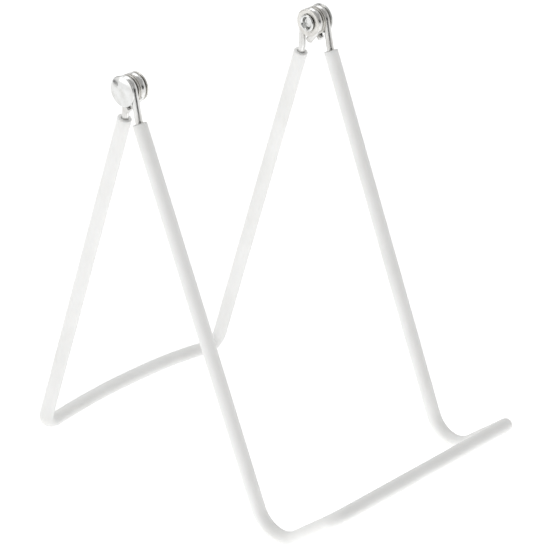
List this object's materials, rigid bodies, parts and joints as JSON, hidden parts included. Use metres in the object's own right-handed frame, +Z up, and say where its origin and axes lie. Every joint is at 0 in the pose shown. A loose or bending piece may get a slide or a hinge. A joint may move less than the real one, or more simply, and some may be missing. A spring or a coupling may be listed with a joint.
{
  "type": "folding display easel",
  "caption": "Folding display easel: two bent wire frames in white soft sleeves, hinged at the top on rivets, with a raised front ledge.",
  "frame": {"origin": "middle of the footprint on the table", "axes": "+Z up, -Y towards the front ledge, +X along the pivot axis to the right as seen from the front"},
  "size_m": [0.1244, 0.1842, 0.1886],
  "materials": {
    "sleeve": "white soft vinyl, satin",
    "wire": "bright zinc-plated drawn wire",
    "rivet": "bright nickel plate",
    "washer": "zinc plate, slightly warm grey"
  },
  "bodies": {
    "front_frame": {"front_wire": "wire", "front_sleeve": "sleeve", "left_rivet": "rivet", "right_rivet": "rivet", "left_outer_washer": "washer", "right_outer_washer": "washer", "left_spring_washer": "washer", "right_spring_washer": "washer", "left_inner_washer": "washer", "right_inner_washer": "washer", "left_backing_washer": "washer", "right_backing_washer": "washer"},
    "rear_frame": {"rear_wire": "wire", "rear_sleeve": "sleeve"}
  },
  "joints": [
    {"name": "rear_fold", "type": "hinge", "parent": "front_frame", "child": "rear_frame", "pos_m": [0, 0.0266, 0.1819], "axis": [1, 0, 0], "range_deg": [-34, 138]}
  ]
}
